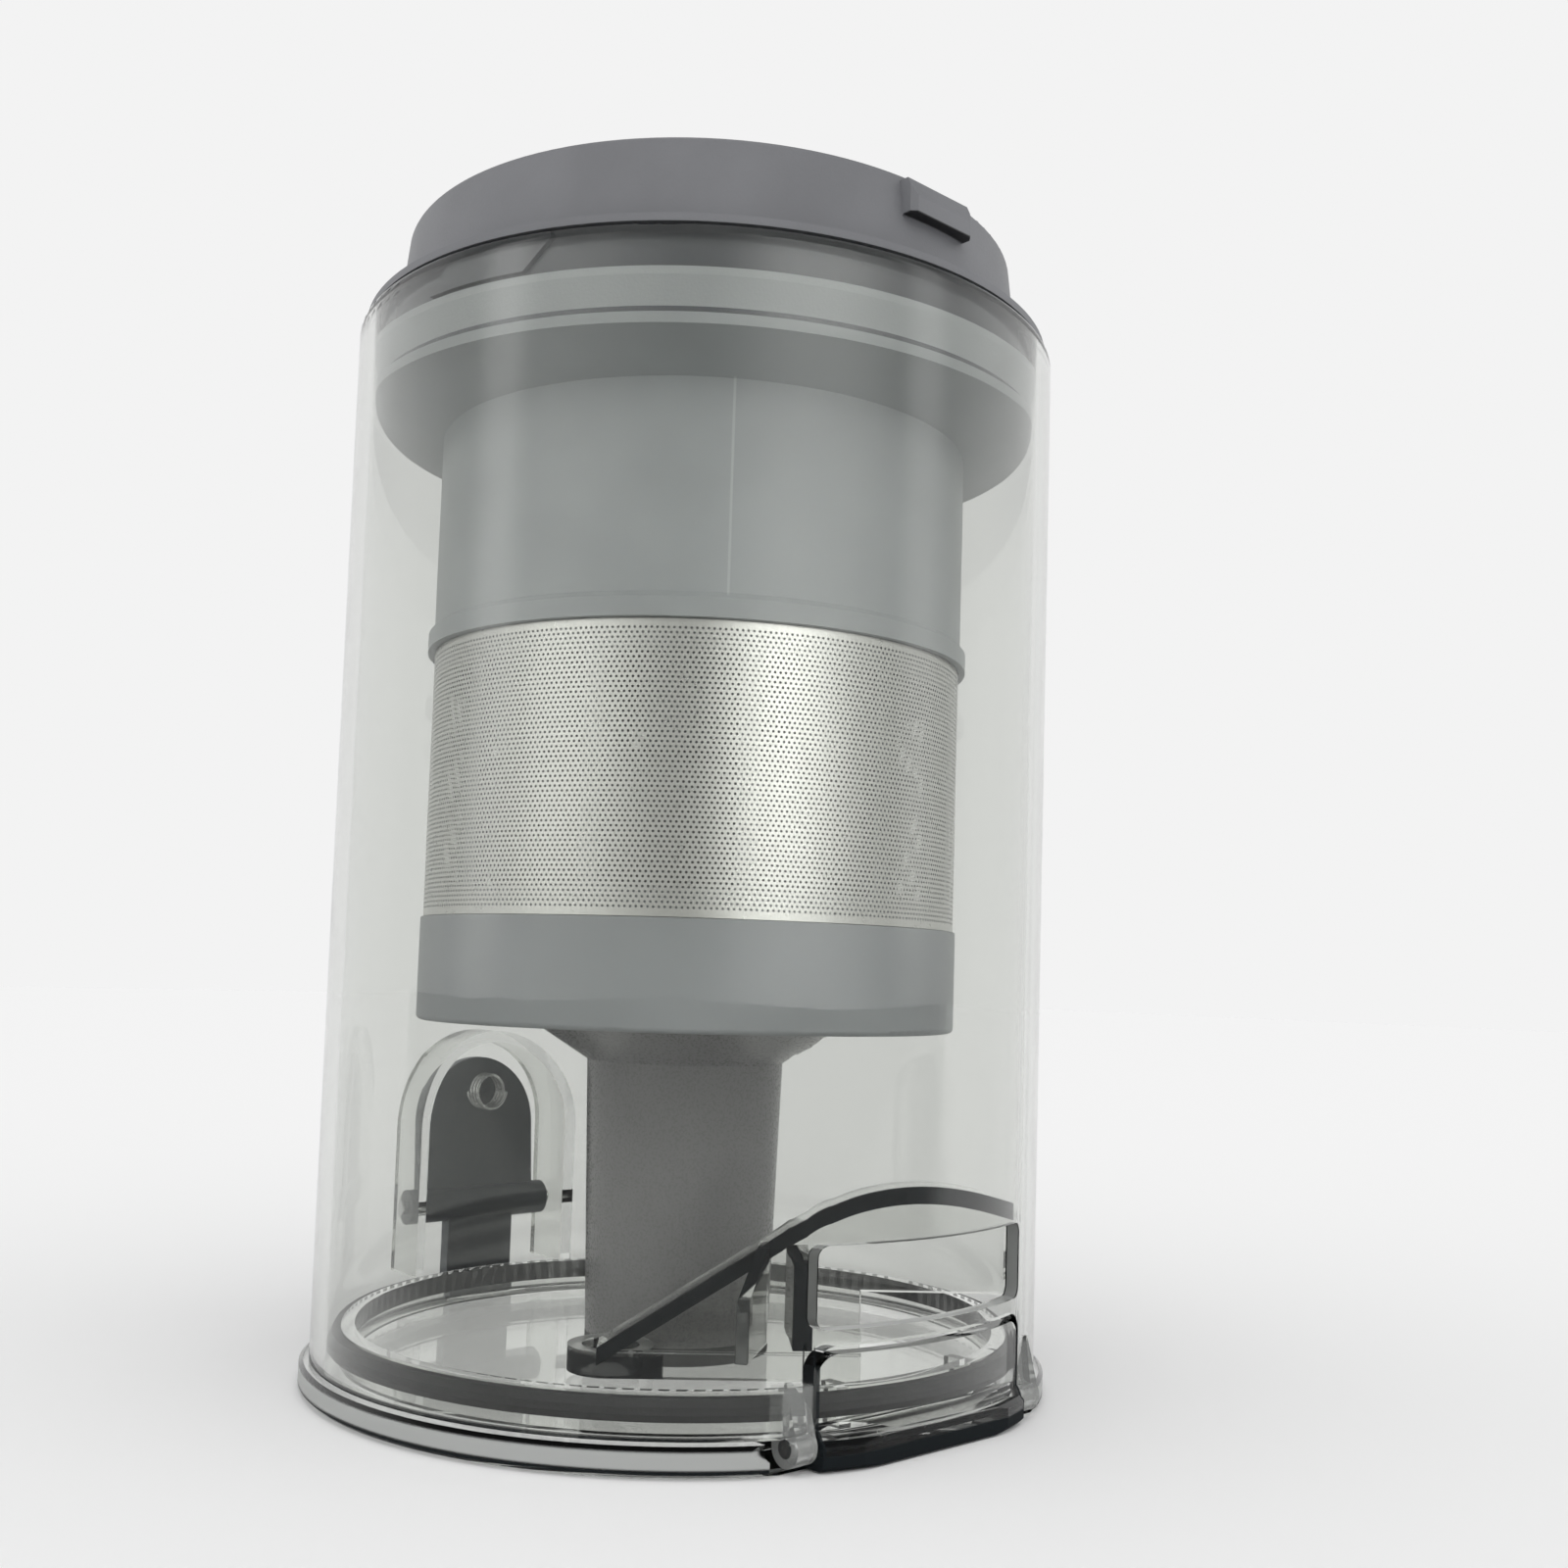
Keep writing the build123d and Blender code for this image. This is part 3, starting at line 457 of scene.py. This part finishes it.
def mould_seam(x, y, z):
    """The fine lines on the shroud's tube where the halves of its mould met."""
    across = x * sin(SEAM_TURN) - y * cos(SEAM_TURN)
    return across.size().below(SEAM_WIDTH / 2, SEAM_WIDTH / 6) * radius(x, y).below(SHROUD_R + FIRM, FIRM)


cap_plastic = moulded_plastic(
    "cap_plastic",
    (0.190, 0.193, 0.205),
    0.48,
    polished=cap_neck,
    # SHADE_GREY is painted shade under the lugs, not a colour of the plastic
    painted=((cap_neck, NECK_GREY), (painted_lug_shade, SHADE_GREY)),
)
shroud_plastic = moulded_plastic(
    "shroud_plastic", (0.400, 0.420, 0.425), 0.42, grain=0.25, painted=((mould_seam, SEAM_GREY),)
)
print("lugs end at", round(lug_z, 1), "mm, the cup's rim at", round(rim_z, 1), "mm")

# %% [markdown]
# ## Clear plastic
#
# The cup, its inlet guide and its lid are one clear plastic with a faint smoke tint. A clear wall is best
# made as a real volume: light bends at its faces and is absorbed on its way through, so a thin wall looks
# almost white and a long way through it looks dark. Roughness stays very low, because even a little haze
# would blur what is inside.
#
# A thick edge of clear plastic bends light from far to the side, so it looks like a black or a pale line.
# A path tracer finds some of these lines, but each depends on the room around the cup. Masks in the
# cup's own coordinates therefore say which edges are pale and which are dark, and mix in a matt shader
# that paints that light and shade onto the edges.

# %% Clear plastic recipe
WALL_TINT = (0.845, 0.853, 0.835, 1)
PAINTED_EDGE_LIGHT, PAINTED_EDGE_SHADE = (0.46, 0.47, 0.46, 1), (0.010, 0.013, 0.015, 1)
VOLUME_TINT, WALL_DENSITY, LID_DENSITY = (0.10, 0.14, 0.10, 1), 12.0, 4.0
PLASTIC_IOR = 1.49
MATT_ROUGHNESS, MATT_GLOSS = 0.7, 0.1
WAVE_SCALE, WAVE_HEIGHT, WAVE_STRENGTH = 90.0, 0.02 * MM, 0.5
HAZE_SCALE, HAZE_ROUGHNESS = 400.0, 0.05


def matt_shader(tree, colour):
    """A second shader without gloss, which paints the light or the shade of a thick edge and hides what is
    behind it.
    """
    inputs = {"Base Color": colour, "Roughness": MATT_ROUGHNESS, "Specular IOR Level": MATT_GLOSS}
    return Wire.node(tree, "ShaderNodeBsdfPrincipled", inputs=inputs, output="BSDF")


def clear_plastic(name, density, light_painted_edges, shade_painted_edges):
    """Clear moulded plastic with gentle waves, and with masks where light is painted on its pale edges and
    shade on its dark edges.
    """
    finish, tree, shader = new_finish(name)
    place = object_mm(tree)
    feed(
        tree,
        shader,
        Base_Color=WALL_TINT,
        Roughness=noise(tree, HAZE_SCALE).step(0.45, 0.8) * HAZE_ROUGHNESS,
        Normal=bump(tree, noise(tree, WAVE_SCALE, 1.0), WAVE_HEIGHT, WAVE_STRENGTH),
        Transmission_Weight=1.0,
        IOR=PLASTIC_IOR,
    )
    look = Wire(shader.outputs["BSDF"])
    # the masks paint the light and the shade of the thick edges with a matt shader
    for edges, colour in ((light_painted_edges, PAINTED_EDGE_LIGHT), (shade_painted_edges, PAINTED_EDGE_SHADE)):
        inputs = {0: edges(*place), 1: look, 2: matt_shader(tree, colour)}
        look = Wire.node(tree, "ShaderNodeMixShader", inputs=inputs)
    absorb = Wire.node(tree, "ShaderNodeVolumeAbsorption", inputs={"Color": VOLUME_TINT, "Density": density})
    output = tree.nodes["Material Output"]
    tree.links.new(look.socket, output.inputs["Surface"])
    tree.links.new(absorb.socket, output.inputs["Volume"])
    return finish


print("clear plastic has an index of refraction of", PLASTIC_IOR)

# %% [markdown]
# The cup is a tube with a mouth and a notch cut through its wall. The cut faces of the mouth and the hinge
# ears gather light, which is painted on them as a pale matt colour, while the rim, the foot and the sides of
# the notch get dark lines of painted shade.

# %% Cup
CUP_WALL, CUP_FOOT_Z = 2.2, 4.0
NOTCH_HALF, NOTCH_TOP_Z, MOUTH_TOP_Z = 20.2, 15.1, 27.6
EAR_START, EAR_TOP_Z = 20.4, 11.0
FRONT_Y = -45.5
MOUTH_PALE, EAR_PALE = 0.6, 0.3
NOTCH_DARK, FOOT_DARK, RIM_DARK = 0.9, 0.75, 0.8

cup_r = box_mm("dust_cup")[1].x
ear_end = box_mm("hinge_pin")[1].x


def near_front(y):
    """One on the front of the cup, where the mouth and the tab are."""
    return y.below(FRONT_Y, SOFT)


def cup_painted_light(x, y, z):
    """Painted light on the cut faces of the mouth and on the hinge ears."""
    in_wall = radius(x, y).between(cup_r - CUP_WALL + FIRM, cup_r - FIRM, SHARP / 2)
    mouth = in_wall * z.between(NOTCH_TOP_Z + SOFT, MOUTH_TOP_Z + SOFT, FIRM)
    ears = x.size().between(EAR_START - SHARP, ear_end + FIRM, FIRM) * z.below(EAR_TOP_Z - SOFT, SOFT)
    return strongest(mouth * MOUTH_PALE, ears * EAR_PALE) * near_front(y)


def cup_painted_shade(x, y, z):
    """Painted shade on the sides of the notch above the ears, on the foot and on the rim."""
    notch = x.size().between(NOTCH_HALF - SHARP, NOTCH_HALF + SHARP, SHARP / 2) * near_front(y)
    notch = notch * z.between(EAR_TOP_Z - SOFT, NOTCH_TOP_Z, FIRM)
    foot = z.below(CUP_FOOT_Z + FIRM, SHARP) * (1 - near_front(y))
    rim = z.above(rim_z - FIRM, SHARP)
    return strongest(notch * NOTCH_DARK, foot * FOOT_DARK, rim * RIM_DARK)


cup_clear = clear_plastic("cup_clear", WALL_DENSITY, cup_painted_light, cup_painted_shade)
print("cup radius", round(cup_r, 1), "mm")

# %% [markdown]
# The inlet guide stands behind the mouth and leads the air round. Its thick rim runs up a straight ramp and
# over a round crown, and shows as a black line from the front, which is painted on as shade. The same two
# curves are written here as distances: one from the ramp's line, and one from the crown's circle, which
# touches the ramp at the knee. The flat top of its nose is painted pale as light.

# %% Inlet guide
GUIDE_TURN, GUIDE_FACE, RIM_HEIGHT = radians(40), 25.0, 2.4
RAMP_ALONG, KNEE_ALONG, CROWN_END_ALONG = -11.0, 17.6, 50.0
RAMP_RISE, KNEE_RISE, CROWN_END_RISE = 4.3, 22.5, 23.8
JAMB_ALONG, JAMB_HALF, JAMB_OUT = 16.6, 1.6, 37.8
FIN_ALONG, FIN_OUT = 13.0, 37.8
NOSE_ALONG, NOSE_OUT, NOSE_R, NOSE_HEIGHT, NOSE_END = -9.3, 18.8, 6.1, 3.6, -1.75
NOSE_PALE, FIN_DARK, NOSE_DARK = 0.5, 0.8, 0.85

guide_foot = box_mm("inlet_guide")[0].z
ramp_start = Vector((RAMP_ALONG, guide_foot + RAMP_RISE))
knee = Vector((KNEE_ALONG, guide_foot + KNEE_RISE))
chord = Vector((CROWN_END_ALONG, guide_foot + CROWN_END_RISE)) - knee
slope = (knee - ramp_start).normalized()
below = Vector((slope.y, -slope.x))
crown_r = chord.length_squared / (2 * below.dot(chord))
crown_middle = knee + below * crown_r
nose_top = guide_foot + NOSE_HEIGHT


def guide_painted_light(x, y, z):
    """Painted light on the flat top of the ring-shaped nose."""
    return z.between(nose_top - SHARP, nose_top + SHARP, SHARP / 2) * NOSE_PALE


def guide_painted_shade(x, y, z):
    """Painted shade on the front of the ramped rim, and on the ends of the jamb, the fin and the nose."""
    along = x * cos(GUIDE_TURN) - y * sin(GUIDE_TURN)
    out = x * -sin(GUIDE_TURN) - y * cos(GUIDE_TURN)
    over_ramp = (z - knee.y) * slope.x - (along - knee.x) * slope.y
    over_crown = radius(along - crown_middle.x, z - crown_middle.y) - crown_r
    over_rim = over_ramp + (over_crown - over_ramp) * along.above(knee.x, SHARP)
    rim = over_rim.above(-RIM_HEIGHT, SHARP) * out.above(GUIDE_FACE + FIRM, FIRM)
    jamb = along.between(JAMB_ALONG - JAMB_HALF, JAMB_ALONG + JAMB_HALF, FIRM) * out.above(JAMB_OUT, FIRM)
    fin = along.below(FIN_ALONG, SOFT) * out.above(FIN_OUT, FIRM)
    nose = radius(along - NOSE_ALONG, out - NOSE_OUT).above(NOSE_R - SOFT, FIRM)
    nose = nose * z.below(nose_top - SOFT, FIRM) * along.below(NOSE_END, FIRM)
    return strongest(rim, jamb, fin * FIN_DARK, nose * NOSE_DARK)


guide_clear = clear_plastic("guide_clear", WALL_DENSITY, guide_painted_light, guide_painted_shade)
print("crown radius", round(crown_r, 2), "mm")

# %% [markdown]
# The lid is a plate with a tab that closes the notch. Its edge gets a painted pale band of light above a
# painted dark line of shade, and the part below the tab is painted as one thick dark edge.

# %% Lid
TAB_HALF, TAB_END_SOFT = 19.8, 2.0
PALE_FROM, PALE_TO, PLATE_PALE = 1.0, 3.1, 0.85
LINE_FROM, LINE_TO, LINE_DARK, TAB_DARK = 0.3, 0.8, 0.9, 0.9
EDGE_TOP, EDGE_WIDTH, SIDE_HALF = 2.0, 1.2, 0.4

lid_r = lid_high.x


def below_tab(x, y):
    """One along the part of the plate's edge that lies below the tab."""
    return y.below(FRONT_Y, TAB_END_SOFT) * x.size().below(TAB_HALF + SOFT, SOFT)


def lid_painted_light(x, y, z):
    """The painted pale band of light round the edge of the plate, which ends at the tab."""
    rim = radius(x, y).above(lid_r - EDGE_WIDTH / 2, FIRM)
    return z.between(PALE_FROM, PALE_TO, FIRM) * rim * (1 - below_tab(x, y)) * PLATE_PALE


def lid_painted_shade(x, y, z):
    """Painted shade: the dark line under that band, the sides of the tab and the plate's edge below the tab.
    """
    line = z.between(LINE_FROM, LINE_TO, SHARP) * radius(x, y).above(lid_r - EDGE_WIDTH, FIRM)
    tab_sides = x.size().between(TAB_HALF - SIDE_HALF, TAB_HALF + SIDE_HALF, SHARP)
    tab_sides = tab_sides * near_front(y) * z.above(EDGE_TOP - FIRM, FIRM)
    front_edge = z.below(EDGE_TOP, FIRM) * below_tab(x, y)
    return strongest(line * LINE_DARK, tab_sides * TAB_DARK, front_edge)


lid_clear = clear_plastic("lid_clear", LID_DENSITY, lid_painted_light, lid_painted_shade)
print("lid radius", round(lid_r, 1), "mm")

# %% [markdown]
# ## Steel
#
# The band is rolled sheet, and the pins, screws and spring are drawn wire. Steel is a metal all over, so
# its look is its reflection, and the finish only needs a colour, a blur and fine marks from the tools that
# shaped it. An anisotropic shader would stretch the blur, but at this size noise in the gloss does as well.

# %% Steel
MARK_SCALE, MARK_HEIGHT, MARK_STRENGTH, MARK_GLOSS, MARK_SHADE = 900.0, 0.02 * MM, 0.5, 0.15, 0.9


def bright_steel(name, colour, roughness):
    """Rolled or drawn steel with fine marks in its colour and gloss."""
    finish, tree, shader = new_finish(name)
    marks = noise(tree, MARK_SCALE, 3.0)
    feed(
        tree,
        shader,
        Base_Color=mix_colours(tree, marks, shade(colour, MARK_SHADE), shade(colour, 1)),
        Roughness=roughness + (marks - 0.5) * MARK_GLOSS,
        Metallic=1.0,
        Normal=bump(tree, marks, MARK_HEIGHT, MARK_STRENGTH),
    )
    return finish


mesh_steel = bright_steel("mesh_steel", (0.66, 0.66, 0.63), 0.30)
pin_steel = bright_steel("pin_steel", (0.62, 0.62, 0.62), 0.25)
print("two steels")

# %% [markdown]
# ## Finishes on the solids
#
# A CAD node comes with one empty material slot, so its finish only has to be put there. A table from
# node to finish keeps the whole choice in one place, which is easier to check than a call for each node.

# %% Finishes on the CAD nodes
NODE_FINISHES = {
    "dust_cup": cup_clear,
    "inlet_guide": guide_clear,
    "lid": lid_clear,
    "lid_seal": dark_rubber,
    "hinge_pin": pin_steel,
    "latch_lever": lever_plastic,
    "latch_pin": pin_steel,
    "latch_spring": pin_steel,
    "top_cap": cap_plastic,
    "lip_seal": pale_rubber,
    "shroud": shroud_plastic,
    "shroud_gasket": dark_rubber,
    "mesh_band": mesh_steel,
    "mesh_cage": skirt_plastic,
    "lower_skirt": skirt_plastic,
    "dust_funnel": tube_plastic,
    "tube_seal": dark_rubber,
    "cone_block": skirt_plastic,
    "cone_tip_seal": dark_rubber,
    "plate_gasket": dark_rubber,
    "vortex_plate": cap_plastic,
    "plate_screws": pin_steel,
}
for node, finish in NODE_FINISHES.items():
    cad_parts[node].material_slots[0].material = finish
print("finishes on", len(NODE_FINISHES), "nodes")

# %% [markdown]
# ## The perforated band
#
# The steel band is a thin etched sheet with thousands of small round holes in staggered rows. A hole could
# be painted on as an alpha mask, but then it would have no edge. Here the sheet starts as a flat grid.
# Each row is pushed sideways by half a hole, the grid is wrapped round the core, and its quads are cut into
# triangles. Every inner corner then has six neighbours, so a corner bevel turns it into a six-sided hole.

# %% Perforated band
HOLE_COLUMNS, HOLE_ROWS = 338, 57
HOLE_R = 0.20 * MM
PLAIN_EDGE = 0.6 * MM

band_low, band_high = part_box("mesh_band")
band_r = band_high.x
band_steps = HOLE_ROWS + 1
row_rise = (band_high.z - band_low.z - 2 * PLAIN_EDGE) / band_steps
band = bmesh.new()
bmesh.ops.create_grid(band, x_segments=HOLE_COLUMNS, y_segments=band_steps, size=0.5)
for corner in band.verts:
    row = (corner.co.y + 0.5) * band_steps
    angle = 2 * pi * (corner.co.x + 0.5 + row / 2 / HOLE_COLUMNS)
    corner.co = (band_r * cos(angle), band_r * sin(angle), band_low.z + PLAIN_EDGE + row * row_rise)
bmesh.ops.remove_doubles(band, verts=band.verts, dist=HOLE_R / 10)
bmesh.ops.triangulate(band, faces=band.faces, quad_method="SHORT_EDGE")
inner = [corner for corner in band.verts if not corner.is_boundary]
holes = bmesh.ops.bevel(
    band, geom=inner, offset=HOLE_R, affect="VERTICES", segments=1, profile=0.5, material=-1
)["faces"]
bmesh.ops.delete(band, geom=holes, context="FACES_ONLY")
for end, pattern_end in ((band_low.z, band_low.z + PLAIN_EDGE), (band_high.z, band_high.z - PLAIN_EDGE)):
    edge = [e for e in band.edges if all(abs(c.co.z - pattern_end) < row_rise / 10 for c in e.verts)]
    margin = bmesh.ops.extrude_edge_only(band, edges=edge)["geom"]
    for corner in margin:
        if isinstance(corner, bmesh.types.BMVert):
            corner.co.z = end


def add_piece(mesh, name, body, finish, node):
    """Turn a bmesh into a smooth piece that rides on a body and stands for a CAD node."""
    bmesh.ops.recalc_face_normals(mesh, faces=mesh.faces)
    for face in mesh.faces:
        face.smooth = True
    data = bpy.data.meshes.new(name)
    mesh.to_mesh(data)
    mesh.free()
    data.materials.append(finish)
    piece = bpy.data.objects.new(name, data)
    scene.collection.objects.link(piece)
    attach(piece, body)
    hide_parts(node)
    print(name, "has", sum(len(face.vertices) - 2 for face in data.polygons), "triangles")
    return piece


print(len(holes), "holes")
add_piece(band, "perforated_band", "cyclone", mesh_steel, "mesh_band")

# %% [markdown]
# ## The latch's spring
#
# A short coil between the cup's wall and the lever keeps the latch shut. It gets shorter when the lever is
# pressed, which a stiff solid can't do. Here a small ring is spun round the coil's axis and moved along it
# at each step, which winds a helix.

# %% Spring
COIL_TURNS, TURN_STEPS, RING_CORNERS = 3.5, 24, 12
WIRE_R = 0.35 * MM
COIL_AXIS = Vector((0, 1, 0))

coil_low, coil_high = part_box("latch_spring")
coil_middle = (coil_low + coil_high) / 2
coil_r = (coil_high.x - coil_low.x) / 2 - WIRE_R
coil_steps = round(COIL_TURNS * TURN_STEPS)
coil_travel = coil_high.y - coil_low.y - 2 * WIRE_R
coil = bmesh.new()
bmesh.ops.create_circle(coil, segments=RING_CORNERS, radius=WIRE_R)
ring_place = Vector((coil_middle.x + coil_r, coil_low.y + WIRE_R, coil_middle.z))
bmesh.ops.translate(coil, verts=coil.verts, vec=ring_place)
bmesh.ops.spin(
    coil,
    geom=coil.verts[:] + coil.edges[:],
    cent=coil_middle,
    axis=COIL_AXIS,
    dvec=COIL_AXIS * coil_travel / coil_steps,
    angle=2 * pi * COIL_TURNS,
    steps=coil_steps,
)
bmesh.ops.holes_fill(coil, edges=[e for e in coil.edges if e.is_boundary], sides=RING_CORNERS)
spring = add_piece(coil, "coil_spring", "cup", pin_steel, "latch_spring")
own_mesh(spring)
